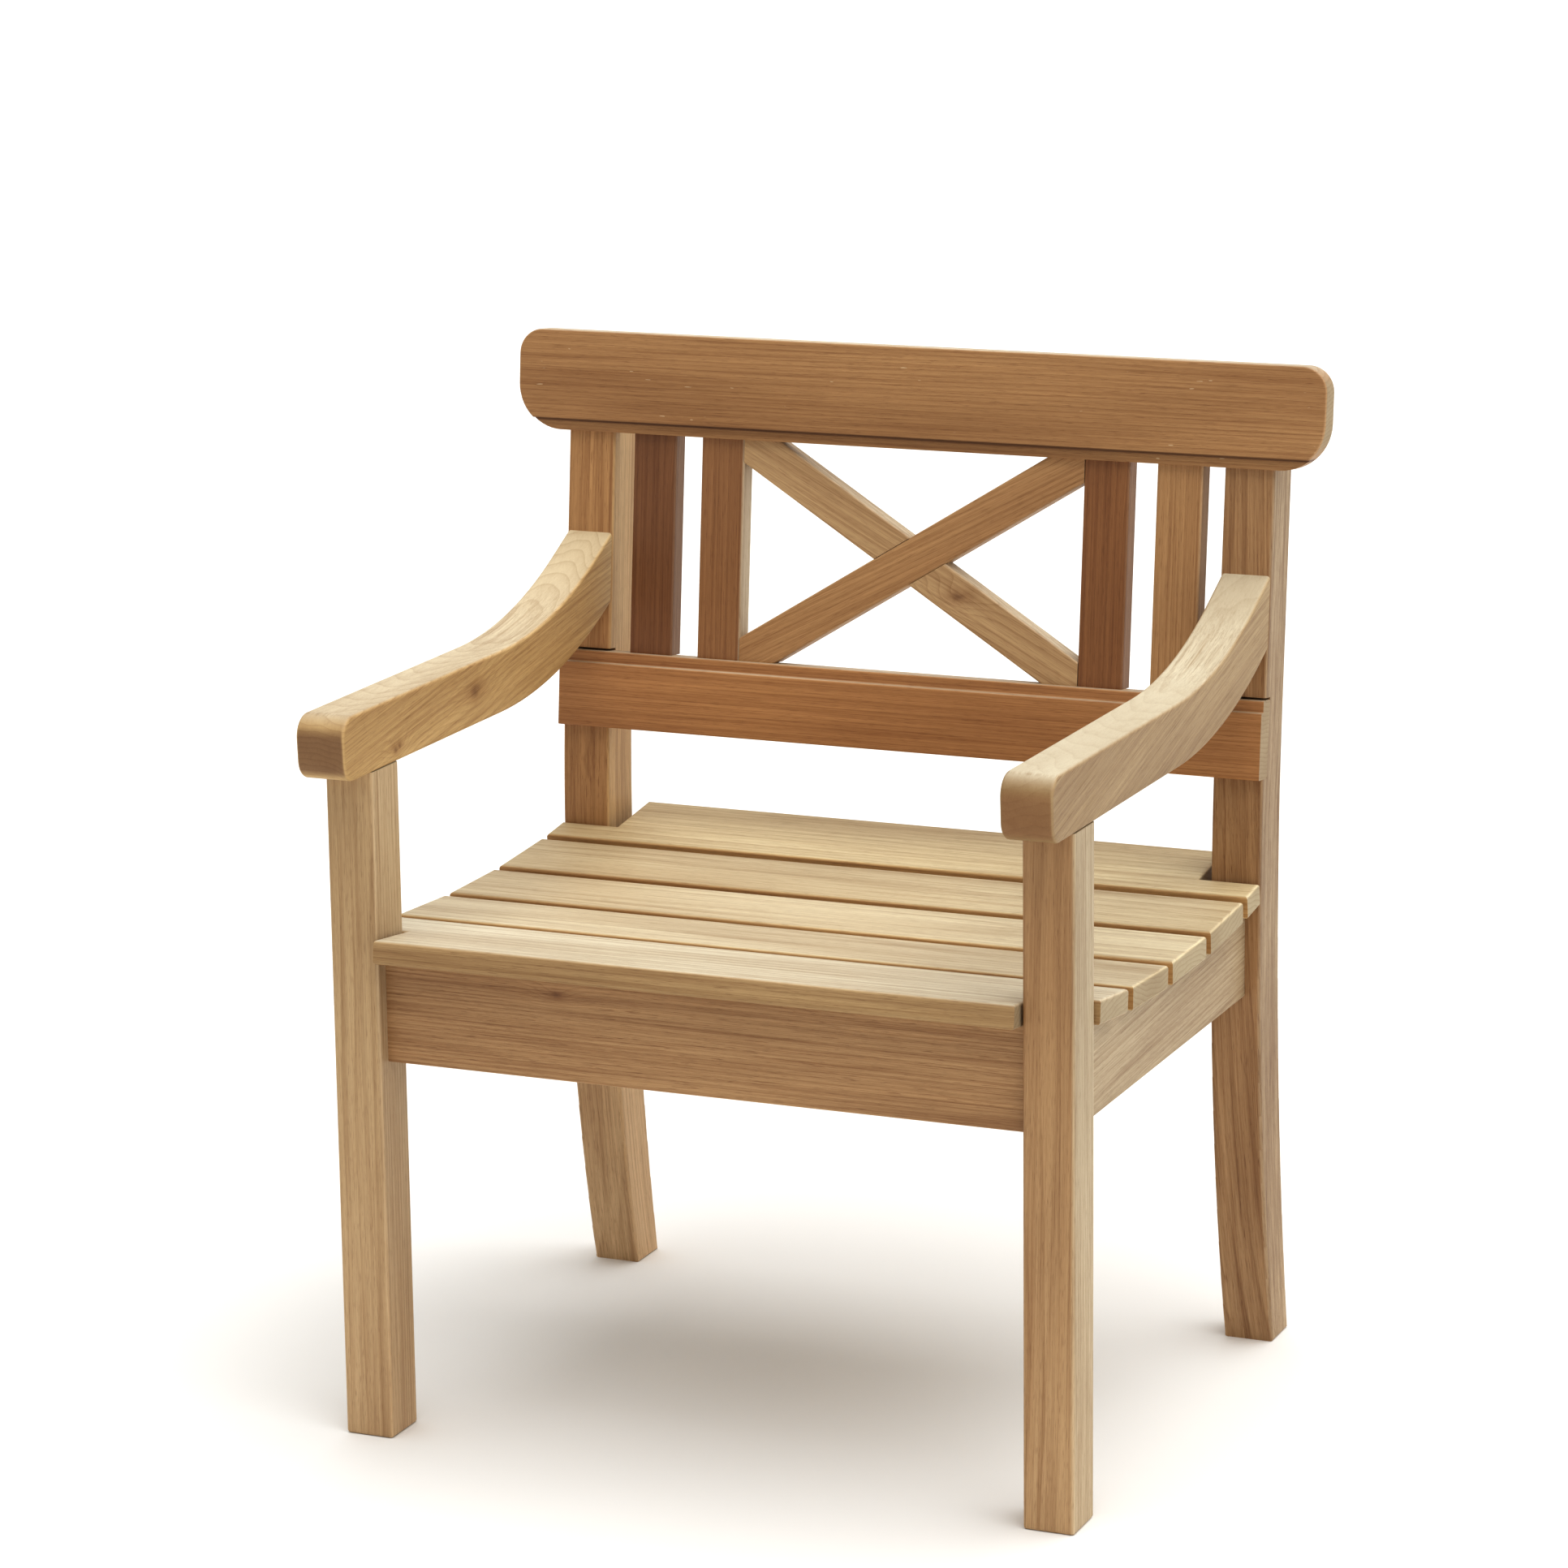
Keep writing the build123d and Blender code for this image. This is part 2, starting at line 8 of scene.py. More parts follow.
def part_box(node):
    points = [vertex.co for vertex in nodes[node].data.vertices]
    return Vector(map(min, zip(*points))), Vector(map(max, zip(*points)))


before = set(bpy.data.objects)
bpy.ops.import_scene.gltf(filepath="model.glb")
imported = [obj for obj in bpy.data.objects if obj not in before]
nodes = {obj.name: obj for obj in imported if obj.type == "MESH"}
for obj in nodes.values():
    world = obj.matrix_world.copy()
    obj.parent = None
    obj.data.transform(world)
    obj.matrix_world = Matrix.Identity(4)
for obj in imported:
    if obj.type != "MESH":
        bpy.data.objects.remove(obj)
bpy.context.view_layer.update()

MM = 0.001
X = Vector((1.0, 0.0, 0.0))
Y = Vector((0.0, 1.0, 0.0))
Z = Vector((0.0, 0.0, 1.0))

# Camera: its place in metres, the way it faces, and its lens.
CAMERA_PLACE = Vector((1.6279, -3.8348, 1.4985))
CAMERA_YAW = radians(23.30)
CAMERA_PITCH = radians(13.12)
CAMERA_ROLL = radians(-0.70)
CAMERA_LENS = 118.54
VIEW_GAMMA = 0.84

# Light: a broad soft sun from above, and a sky that is pale and bright overhead, to the right
# and behind the chair, and dim in front of it. Each part of the sky is a colour and a strength.
SUN_TOWARDS = Vector((0.26, -0.10, 1.00))
SUN_STRENGTH = 2.62
SUN_SPREAD = radians(70)
SKY_BASE = ((1.0, 0.98, 0.95), 0.29)
SKY_TOP = ((0.97, 1.0, 1.0), 0.48)
SKY_RIGHT = ((0.97, 1.0, 1.0), 0.27)
SKY_REAR = ((1.0, 1.0, 1.0), 0.50)
FLOOR_HALF = 60.0
FLOOR_COLOUR = (0.83, 0.82, 0.80, 1.0)

# Shape of the frame that the grain follows. The back and its members lean by BACK_LEAN. A back
# leg sweeps back below SWEEP_TOP and leans back above LEAN_BASE, in metres up from the floor.
BACK_LEAN = radians(5.7)
SWEEP_TOP = 0.37
SWEEP_RADIUS = 1.62
LEAN_BASE = 0.48
LEG_LEAN_SLOPE = 0.093
UP_BACK = Vector((0.0, sin(BACK_LEAN), cos(BACK_LEAN)))
FACE_BACK = Vector((0.0, -cos(BACK_LEAN), sin(BACK_LEAN)))

# Height of the end of a bar of the cross, how far the crest rail's lower edge lies up the back
# from the low corner of its box, the height of its rebate, and the width of the painted shade line in it.
CROSS_BAR_END = 30.0 * MM
CREST_EDGE_LIFT = 2.1 * MM
CREST_REBATE = 9.0 * MM
CREST_GRIME = 1.8 * MM

# Colour of the fresh wood of each kind of board.
TONES = {
    "leg": (0.438, 0.292, 0.150),
    "leg_warm": (0.450, 0.272, 0.128),
    "post": (0.400, 0.212, 0.084),
    "post_brown": (0.385, 0.222, 0.102),
    "arm": (0.545, 0.372, 0.172),
    "arm_grey": (0.343, 0.222, 0.102),
    "seat": (0.610, 0.470, 0.245),
    "seat_front": (0.412, 0.267, 0.124),
    "apron": (0.412, 0.240, 0.110),
    "side": (0.450, 0.335, 0.200),
    "crest": (0.407, 0.222, 0.092),
    "lower": (0.457, 0.228, 0.087),
    "dark": (0.222, 0.094, 0.035),
    "russet": (0.285, 0.124, 0.043),
    "brown": (0.322, 0.155, 0.061),
    "tan": (0.455, 0.258, 0.113),
    "honey": (0.485, 0.314, 0.160),
}

# Painted light and shade: colours mixed into the faces that look up and to the right, where the light
# falls, on most boards and on three of the legs, and a paler colour at the feet, for light from the floor.
# A leg's foot gets the most painted light below the first height and none above the second, in metres.
# The painted light on a top falls off as its face turns from level, by this power.
FADED = (0.630, 0.565, 0.425)
TAUPE = (0.350, 0.275, 0.180)
STRAW = (0.500, 0.430, 0.300)
GOLD = (0.660, 0.475, 0.245)
FOOT = (0.700, 0.500, 0.290)
FOOT_FADE_HEIGHTS = (0.05, 0.42)
TOP_FADE_POWER = 4.0

# Sawn ends, and how far a face has to turn across the grain to count as one.
END_GRAIN = (0.362, 0.280, 0.172)
NOSE_GRAIN_LEFT = (0.230, 0.120, 0.056)
NOSE_GRAIN_RIGHT = (0.305, 0.160, 0.067)
END_GRAIN_TURN = (0.75, 0.97)
END_GRAIN_COVER = 0.85

# Scale of each layer of the grain, per millimetre: across the fibres, twice, and along them.
# An edge is the two values of a layer between which its pores or flecks come in.
DRIFT_SCALE = (0.009, 0.009, 0.0016)
UNEVEN_SCALE = (0.04, 0.04, 0.002)
BOARD_SCALE = (0.011, 0.011, 0.0018)
BAND_SCALE = (0.17, 0.17, 0.0032)
THREAD_SCALE = (0.62, 0.62, 0.006)
FIBRE_SCALE = (1.5, 1.5, 0.03)
DASH_SCALE = (0.9, 0.9, 0.045)
PORE_SCALE = (2.6, 2.6, 0.09)
FLECK_SCALE = (0.40, 0.40, 0.07)
PORE_EDGE = (0.60, 0.72)
FLECK_EDGE = (0.785, 0.800)

# Tints that multiply the board's colour, at places from 0 to 1 in each layer, and how strongly
# some of them do. Where the fibres are cut across, CROSS_GRAIN_STRENGTH of the streaks is left.
WHITE = (1.0, 1.0, 1.0)
BOARD_TINTS = [(0.34, (0.86, 0.82, 0.78)), (0.50, WHITE), (0.66, (1.10, 1.13, 1.16))]
YEAR_TINTS = [(0.0, (1.05, 1.06, 1.07)), (0.50, WHITE), (0.80, (0.86, 0.81, 0.76)),
              (0.93, (0.66, 0.56, 0.46)), (1.0, (1.05, 1.06, 1.07))]
BAND_TINTS = [(0.32, (0.74, 0.64, 0.55)), (0.50, WHITE), (0.70, (1.14, 1.16, 1.18))]
THREAD_TINTS = [(0.30, (1.12, 1.14, 1.16)), (0.50, WHITE), (0.60, (0.88, 0.82, 0.77)),
                (0.72, (0.62, 0.52, 0.44))]
FIBRE_TINTS = [(0.32, (0.80, 0.76, 0.72)), (0.52, WHITE), (0.72, (1.10, 1.10, 1.10))]
DASH_TINTS = [(0.0, WHITE), (0.64, WHITE), (0.71, (0.66, 0.56, 0.49)), (1.0, (0.5, 0.4, 0.34))]
FIBRE_STRENGTH = 0.55
PORE_STRENGTH = 0.5
CROSS_GRAIN_STRENGTH = 0.25

# Marks: pores, painted shade between seat slats, knots, pale flecks, a painted shade line in the crest's
# rebate, painted highlights on edges.
# A turn is how far a face has to turn for its mark to come in and to be whole.
PORE_TINT = (0.50, 0.38, 0.30)
GAP_TINT = (0.76, 0.55, 0.38)
GAP_TURN = (0.5, 0.95)
KNOT_TINT = (0.62, 0.48, 0.38)
KNOT_HEART = (0.14, 0.060, 0.025)
KNOT_STRENGTH = 0.7
KNOT_HEART_STRENGTH = 0.55
FLECK_COLOUR = (0.80, 0.64, 0.42)
# Painted shade: the tint and strength of the dark line under the ceiling of the crest's rebate.
GRIME_TINT = (0.36, 0.27, 0.21)
GRIME_STRENGTH = 0.85
# Painted highlight: the tint that makes the rounded long edges paler.
PALE_EDGE = (1.16, 1.17, 1.18)
EDGE_TURN = (0.03, 0.26)

# Rings and knots: how unevenly the rings grew and how far a knot pushes them aside, in years, how
# wavy a knot's outline is, how fast its swelling and its smudge fall off, and its heart's edge.
RING_UNEVENNESS = 1.8
KNOT_RINGS = 2.4
KNOT_RIPPLE = 450.0
KNOT_SWELL_FALL = 0.12
KNOT_HALO_FALL = 0.60
KNOT_HEART_EDGE = (0.15, 0.75)

# Surface: roughness from the fibres, the edges and the ends, and the depth of the relief.
ROUGHNESS = (0.62, 0.48)
EDGE_POLISH = -0.10
END_ROUGHNESS = 0.12
WOOD_IOR = 1.45
RELIEF_STRENGTH = 0.30
RELIEF_DEPTH = 0.22 * MM
PORE_RELIEF = -1.2
THREAD_RELIEF = 0.8


class Graph:
    """Short calls for building one material's nodes."""

    def __init__(self, name):
        self.material = bpy.data.materials.new(name)
        self.material.use_nodes = True
        self.tree = self.material.node_tree
        self.shader = self.tree.nodes["Principled BSDF"]

    def add(self, kind, **settings):
        node = self.tree.nodes.new(kind)
        for key, value in settings.items():
            setattr(node, key, value)
        return node

    def put(self, socket, value):
        """Feed a socket from another socket, or set it to a constant."""
        if isinstance(value, bpy.types.NodeSocket):
            self.tree.links.new(value, socket)
        else:
            socket.default_value = value

    def math(self, operation, a, b=0.0, c=0.0, clamp=False):
        node = self.add("ShaderNodeMath", operation=operation, use_clamp=clamp)
        for socket, value in zip(node.inputs, (a, b, c)):
            self.put(socket, value)
        return node.outputs[0]

    def vector(self, operation, a, b=(0.0, 0.0, 0.0)):
        node = self.add("ShaderNodeVectorMath", operation=operation)
        self.put(node.inputs[0], a)
        self.put(node.inputs[1], b)
        return node.outputs["Value"] if operation in ("LENGTH", "DOT_PRODUCT") else node.outputs[0]

    def split(self, vector):
        """The X, Y and Z of a vector."""
        node = self.add("ShaderNodeSeparateXYZ")
        self.put(node.inputs[0], vector)
        return node.outputs

    def noise(self, vector, scale, detail=2.0, roughness=0.5, output="Fac"):
        """Noise over a vector that is first scaled along each of its axes."""
        scaled = self.vector("MULTIPLY", vector, scale)
        node = self.add("ShaderNodeTexNoise")
        self.put(node.inputs["Vector"], scaled)
        self.put(node.inputs["Scale"], 1.0)
        self.put(node.inputs["Detail"], detail)
        self.put(node.inputs["Roughness"], roughness)
        return node.outputs[output]

    def wobble(self, vector, scale, detail, roughness):
        """Noise of three parts, each of them about zero."""
        colour = self.noise(vector, scale, detail, roughness, "Color")
        return self.vector("SUBTRACT", colour, (0.5, 0.5, 0.5))

    def spread(self, value, low, high, to_low=0.0, to_high=1.0):
        """Map a value from one range to another, and hold it inside."""
        node = self.add("ShaderNodeMapRange", clamp=True)
        for socket, number in zip(node.inputs, (value, low, high, to_low, to_high)):
            self.put(socket, number)
        return node.outputs[0]

    def ramp(self, value, stops):
        """Colours at places from 0 to 1."""
        node = self.add("ShaderNodeValToRGB")
        elements = node.color_ramp.elements
        while len(elements) < len(stops):
            elements.new(0.5)
        for element, (place, colour) in zip(elements, stops):
            element.position = place
            element.color = (*colour, 1.0)
        self.put(node.inputs[0], value)
        return node.outputs[0]

    def blend(self, kind, amount, a, b):
        """Mix two colours."""
        node = self.add("ShaderNodeMix", data_type="RGBA", blend_type=kind)
        self.put(node.inputs[0], amount)
        for socket, value in ((node.inputs[6], a), (node.inputs[7], b)):
            colour = value if isinstance(value, bpy.types.NodeSocket) else (*value, 1.0)
            self.put(socket, colour)
        return node.outputs[2]

    def tint(self, colour, amount, value, stops):
        """Multiply a colour by a ramp of tints, as strongly as amount."""
        return self.blend("MULTIPLY", amount, colour, self.ramp(value, stops))

    def turned_to(self, normal, direction):
        """1 on faces that look along a direction or against it, 0 on those beside it."""
        return self.math("ABSOLUTE", self.vector("DOT_PRODUCT", normal, tuple(direction)))


@dataclass
class Board:
    """How one board was sawn from the tree, the painted light and shade on it, and its marks."""

    tone: tuple                    # colour of the fresh wood
    grain: Vector                  # the way the fibres run
    face: Vector                   # the way the broad face looks
    pith: Vector                   # a point on the axis of the tree, in metres
    ring: float = 4.5              # a year's growth, in millimetres
    figure: float = 0.45           # strength of the growth rings
    wander: float = 5.0            # how far the log drifts off straight, in millimetres
    streak: float = 0.55           # strength of the streaks
    run_out: tuple = (0.30, 0.60)  # turn of a face across the grain over which streaks weaken
    bent: bool = False             # the grain follows the curve of a back leg
    end: tuple = END_GRAIN         # colour of the sawn ends
    faded_to: tuple = FADED        # colour of the painted light and shade
    fade_top: float = 0.7          # painted light on the faces that look up
    fade_right: float = 0.4        # painted light on the faces that look to the right
    fade_foot: float = 0.0         # painted light from the floor on a leg, towards the floor
    gap_shade: float = 0.0         # shade on the sides of a seat slat
    knots: tuple = ()              # a place in metres and a size in millimetres for each
    seams: tuple = ()              # painted shade lines: a height up the back and a width, in metres, for each
    flecks: float = 0.0            # strength of the pale flecks


def straighten(graph, place):
    """Places in a back leg, moved to where they would be if the leg were straight and upright."""
    height = graph.split(place)[2]
    below = graph.math("MAXIMUM", graph.math("SUBTRACT", SWEEP_TOP, height), 0.0)
    sweep = graph.math("DIVIDE", graph.math("MULTIPLY", below, below), 2 * SWEEP_RADIUS)
    above = graph.math("MAXIMUM", graph.math("SUBTRACT", height, LEAN_BASE), 0.0)
    shift = graph.add("ShaderNodeCombineXYZ")
    graph.put(shift.inputs[1], graph.math("MULTIPLY_ADD", above, LEG_LEAN_SLOPE, sweep))
    return graph.vector("SUBTRACT", place, shift.outputs[0])


def log_place(graph, board, place):
    """Places in millimetres in the log that the board came from, with the pith along its Z."""
    mapping = graph.add("ShaderNodeMapping", vector_type="TEXTURE")
    graph.put(mapping.inputs["Vector"], straighten(graph, place) if board.bent else place)
    mapping.inputs["Location"].default_value = board.pith
    mapping.inputs["Rotation"].default_value = board.grain.to_track_quat("Z", "Y").to_euler()
    mapping.inputs["Scale"].default_value = (MM, MM, MM)
    return mapping.outputs[0]


def knot_masks(graph, board, place):
    """How strongly rings swell round the knots, how dark their hearts are, and the smudge round them."""
    swell = heart = halo = None
    for centre, size in board.knots:
        offset = graph.vector("SUBTRACT", place, tuple(centre))
        ripple = graph.wobble(offset, (KNOT_RIPPLE / size,) * 3, 2.0, 0.6)
        offset = graph.vector("ADD", graph.vector("MULTIPLY", offset, (1 / (size * MM),) * 3), ripple)
        squeeze = Vector((1.0, 1.0, 1.0)) - 0.5 * board.grain
        near = graph.vector("LENGTH", graph.vector("MULTIPLY", offset, tuple(squeeze)))
        square = graph.math("MULTIPLY", near, near)
        masks = (graph.math("POWER", e, graph.math("MULTIPLY", square, -KNOT_SWELL_FALL)),
                 graph.spread(near, *KNOT_HEART_EDGE, 1.0, 0.0),
                 graph.math("POWER", e, graph.math("MULTIPLY", square, -KNOT_HALO_FALL)))
        if swell is None:
            swell, heart, halo = masks
        else:
            swell, heart, halo = [graph.math("MAXIMUM", a, b) for a, b in zip((swell, heart, halo), masks)]
    return swell, heart, halo


def growth_rings(graph, board, log, swell):
    """Distance from the pith counted in years, bent by slow drift along the log and by knots."""
    drift = graph.wobble(log, DRIFT_SCALE, 2.0, 0.45)
    drift = graph.vector("MULTIPLY", drift, (board.wander * 2, board.wander * 2, 0.0))
    across = graph.vector("MULTIPLY", graph.vector("ADD", log, drift), (1.0, 1.0, 0.0))
    radius = graph.math("DIVIDE", graph.vector("LENGTH", across), board.ring)
    uneven = graph.noise(log, UNEVEN_SCALE, 1.0, 0.5)
    years = graph.math("MULTIPLY_ADD", uneven, RING_UNEVENNESS, radius)
    if swell is not None:
        years = graph.math("MULTIPLY_ADD", swell, KNOT_RINGS, years)
    return graph.math("FRACT", years)


def faded_tone(graph, board, place, normal):
    """The board's plain colour, with painted light mixed in on its top, on its right and towards the floor.
    """
    looks = graph.split(normal)
    level = graph.math("POWER", graph.math("MAXIMUM", looks[2], 0.0), TOP_FADE_POWER)
    upward = graph.math("MULTIPLY", level, board.fade_top)
    faded = graph.math("MULTIPLY_ADD", graph.math("MAXIMUM", looks[0], 0.0), board.fade_right, upward)
    colour = graph.blend("MIX", faded, board.tone, board.faded_to)
    # Painted light: the leg grows paler towards the floor, standing in for light from the floor.
    if board.fade_foot:
        low = graph.spread(graph.split(place)[2], *FOOT_FADE_HEIGHTS, board.fade_foot, 0.0)
        colour = graph.blend("MIX", low, colour, FOOT)
    return colour


def add_marks(graph, board, colour, place, log, normal, heart, halo):
    """Painted shade between the slats, knots, flecks, and a painted shade line in the corner of a rebate."""
    # Painted shade on the sides of the seat slats, where the gaps between them lie in shade.
    if board.gap_shade:
        sideways = graph.spread(graph.turned_to(normal, Y), *GAP_TURN, 0.0, board.gap_shade)
        colour = graph.blend("MULTIPLY", sideways, colour, GAP_TINT)
    if board.knots:
        colour = graph.blend("MULTIPLY", graph.math("MULTIPLY", halo, KNOT_STRENGTH), colour, KNOT_TINT)
        colour = graph.blend("MIX", graph.math("MULTIPLY", heart, KNOT_HEART_STRENGTH), colour, KNOT_HEART)
    if board.flecks:
        speck = graph.spread(graph.noise(log, FLECK_SCALE, 1.0, 0.5), *FLECK_EDGE)
        colour = graph.blend("MIX", graph.math("MULTIPLY", speck, board.flecks), colour, FLECK_COLOUR)
    # Painted shade: a dark line just below the ceiling of the rebate.
    for height, width in board.seams:
        up = graph.vector("DOT_PRODUCT", place, tuple(UP_BACK))
        away = graph.math("ABSOLUTE", graph.math("SUBTRACT", up, height))
        grime = graph.spread(away, 0.4 * width, width, GRIME_STRENGTH, 0.0)
        colour = graph.blend("MULTIPLY", grime, colour, GRIME_TINT)
    return colour


def edge_wear(graph, board, normal, patches):
    """1 on the rounded long edges between the broad faces and their neighbours, less in patches: where a
    highlight is painted and the wood is made glossier.
    """
    along = graph.turned_to(normal, board.face)
    other = graph.math("SQRT", graph.math("SUBTRACT", 1.0, graph.math("MULTIPLY", along, along), clamp=True))
    flat = graph.math("MAXIMUM", along, other)
    edge = graph.spread(graph.math("SUBTRACT", 1.0, flat), *EDGE_TURN)
    return graph.math("MULTIPLY", edge, graph.spread(patches, 0.3, 0.7, 0.5, 1.0))


def teak(name, board):
    """Solid oiled teak for one board."""
    graph = Graph(name)
    place = graph.add("ShaderNodeTexCoord").outputs["Object"]
    normal = graph.add("ShaderNodeNewGeometry").outputs["Normal"]
    log = log_place(graph, board, place)
    swell, heart, halo = knot_masks(graph, board, place)
    year = growth_rings(graph, board, log, swell)
    patches = graph.noise(log, BOARD_SCALE, 2.0, 0.5)
    band = graph.noise(log, BAND_SCALE, 3.0, 0.6)
    thread = graph.noise(log, THREAD_SCALE, 3.0, 0.6)
    fibre = graph.noise(log, FIBRE_SCALE, 3.0, 0.65)
    dash = graph.noise(log, DASH_SCALE, 2.0, 0.5)
    pore = graph.spread(graph.noise(log, PORE_SCALE, 1.0, 0.5), *PORE_EDGE)

    across = graph.turned_to(normal, board.grain)
    end_grain = graph.spread(across, *END_GRAIN_TURN)
    lengthwise = graph.spread(across, *board.run_out, 1.0, CROSS_GRAIN_STRENGTH)
    streaky = graph.math("MULTIPLY", lengthwise, board.streak)
    fibrous = graph.math("MULTIPLY", lengthwise, FIBRE_STRENGTH)
    pitted = graph.math("MULTIPLY", graph.math("MULTIPLY", pore, lengthwise), PORE_STRENGTH)

    colour = faded_tone(graph, board, place, normal)
    colour = graph.blend("MIX", graph.math("MULTIPLY", end_grain, END_GRAIN_COVER), colour, board.end)
    colour = graph.tint(colour, 1.0, patches, BOARD_TINTS)
    colour = graph.tint(colour, board.figure, year, YEAR_TINTS)
    colour = graph.tint(colour, streaky, band, BAND_TINTS)
    colour = graph.tint(colour, streaky, thread, THREAD_TINTS)
    colour = graph.tint(colour, fibrous, fibre, FIBRE_TINTS)
    colour = graph.tint(colour, streaky, dash, DASH_TINTS)
    colour = graph.blend("MULTIPLY", pitted, colour, PORE_TINT)
    colour = add_marks(graph, board, colour, place, log, normal, heart, halo)
    wear = edge_wear(graph, board, normal, patches)
    # Painted highlight on the rounded long edges.
    colour = graph.blend("MULTIPLY", wear, colour, PALE_EDGE)
    graph.put(graph.shader.inputs["Base Color"], colour)

    rough = graph.spread(fibre, 0.3, 0.7, *ROUGHNESS)
    rough = graph.math("MULTIPLY_ADD", wear, EDGE_POLISH, rough)
    rough = graph.math("MULTIPLY_ADD", end_grain, END_ROUGHNESS, rough)
    graph.put(graph.shader.inputs["Roughness"], rough)
    graph.shader.inputs["IOR"].default_value = WOOD_IOR

    relief = graph.math("MULTIPLY_ADD", thread, THREAD_RELIEF, fibre)
    relief = graph.math("MULTIPLY_ADD", pore, PORE_RELIEF, relief)
    bump = graph.add("ShaderNodeBump")
    bump.inputs["Strength"].default_value = RELIEF_STRENGTH
    bump.inputs["Distance"].default_value = RELIEF_DEPTH
    graph.put(bump.inputs["Height"], graph.math("MULTIPLY", relief, lengthwise))
    graph.put(graph.shader.inputs["Normal"], bump.outputs[0])
    return graph.material


def steel():
    """Satin stainless steel of the screws."""
    graph = Graph("screw_steel")
    place = graph.add("ShaderNodeTexCoord").outputs["Object"]
    brushed = graph.noise(place, (900.0, 900.0, 900.0), 3.0)
    greys = [(0.3, (0.50, 0.50, 0.49)), (0.7, (0.68, 0.68, 0.66))]
    graph.put(graph.shader.inputs["Base Color"], graph.ramp(brushed, greys))
    graph.put(graph.shader.inputs["Roughness"], graph.spread(brushed, 0.3, 0.7, 0.28, 0.42))
    graph.shader.inputs["Metallic"].default_value = 1.0
    return graph.material


def dress(node, material):
    """Give a CAD node one material."""
    mesh = nodes[node].data
    mesh.materials.clear()
    mesh.materials.append(material)


def dress_wood(node, tone, grain, face, offset, **more):
    """Teak for one node. offset is from the node's middle to the pith, in millimetres."""
    low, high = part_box(node)
    pith = (low + high) / 2 + Vector(offset) * MM
    dress(node, teak("teak_" + node, Board(TONES[tone], grain, face, pith, **more)))


def from_corner(node, x, y, z):
    """A point in millimetres from the low corner of a node's box."""
    low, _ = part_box(node)
    return low + Vector((x, y, z)) * MM


def dress_legs():
    """The four legs. The grain of the back ones follows their curve."""
    # Painted light and shade: each leg's faces that look up and to the right, and its foot, are mixed
    # towards another colour, standing in for the light that falls on them.
    dress_wood("front_leg_left", "leg", Z, X, (30, 85, 0), fade_right=0.25, fade_foot=0.6)
    dress_wood("front_leg_right", "leg_warm", Z + X * 0.02, X, (-35, 75, 0),
               faded_to=STRAW, fade_right=0.8, fade_foot=0.25)
    dress_wood("back_leg_left", "post", Z, X, (20, 90, 0), bent=True, ring=5.0, wander=3.0,
               figure=0.35, streak=0.7, faded_to=GOLD, fade_right=0.6, fade_foot=1.0)
    dress_wood("back_leg_right", "post_brown", Z - X * 0.045, X, (-70, 75, 0), bent=True, ring=8.0,
               wander=6.0, figure=0.6, streak=0.85, faded_to=TAUPE, fade_right=0.65, fade_foot=0.2)


def dress_arms():
    """The armrests: the grain runs out through their tops where they curve up."""
    left_grain = Vector((0.0, 1.0, 0.16)).normalized()
    right_grain = Vector((0.0, 1.0, 0.26)).normalized()
    run_out = (0.04, 0.20)
    knots = ((from_corner("armrest_left", 46, 239, 29), 8.0),
             (from_corner("armrest_left", 46, 91, 10), 3.5),
             (from_corner("armrest_left", 46, 98, 12), 3.0))
    dress_wood("armrest_left", "arm", left_grain, X, (-6, 0, -60), figure=0.38, streak=0.6, wander=4.0,
               run_out=run_out, end=NOSE_GRAIN_LEFT, fade_top=0.7, fade_right=0.0, knots=knots)
    dress_wood("armrest_right", "arm_grey", right_grain, X, (14, 0, -90), figure=0.2, ring=8.0,
               streak=0.6, wander=3.0, run_out=run_out, end=NOSE_GRAIN_RIGHT, fade_top=0.85,
               fade_right=0.1)


def dress_seat():
    """The seat rails and the seat slats."""
    knot = ((from_corner("front_seat_rail", 170, 0, 72), 3.5),)
    dress_wood("front_seat_rail", "apron", X, Y, (-220, 25, -120), ring=3.5, streak=0.8, knots=knot)
    dress_wood("back_seat_rail", "apron", X, Y, (0, 25, 110))
    dress_wood("side_seat_rail_left", "side", Y, X, (25, 0, 110))
    dress_wood("side_seat_rail_right", "side", Y + Z * 0.05, X, (-25, 0, 120), fade_right=0.2)
    dress_wood("seat_slat_1", "seat_front", X, Z, (0, 60, -160), ring=5.0, streak=0.6,
               fade_top=1.0, fade_right=0.5)
    # Painted light and shade: the seat slats' tops get less painted light from front to back, standing in
    # for the shade of the back.
    for number, lift in enumerate((140, -110, 150, -130), start=2):
        dress_wood("seat_slat_" + str(number), "seat", X, Z, (0, 90 - 30 * number, lift), streak=0.45,
                   fade_top=1.05 - 0.15 * number, gap_shade=0.9)


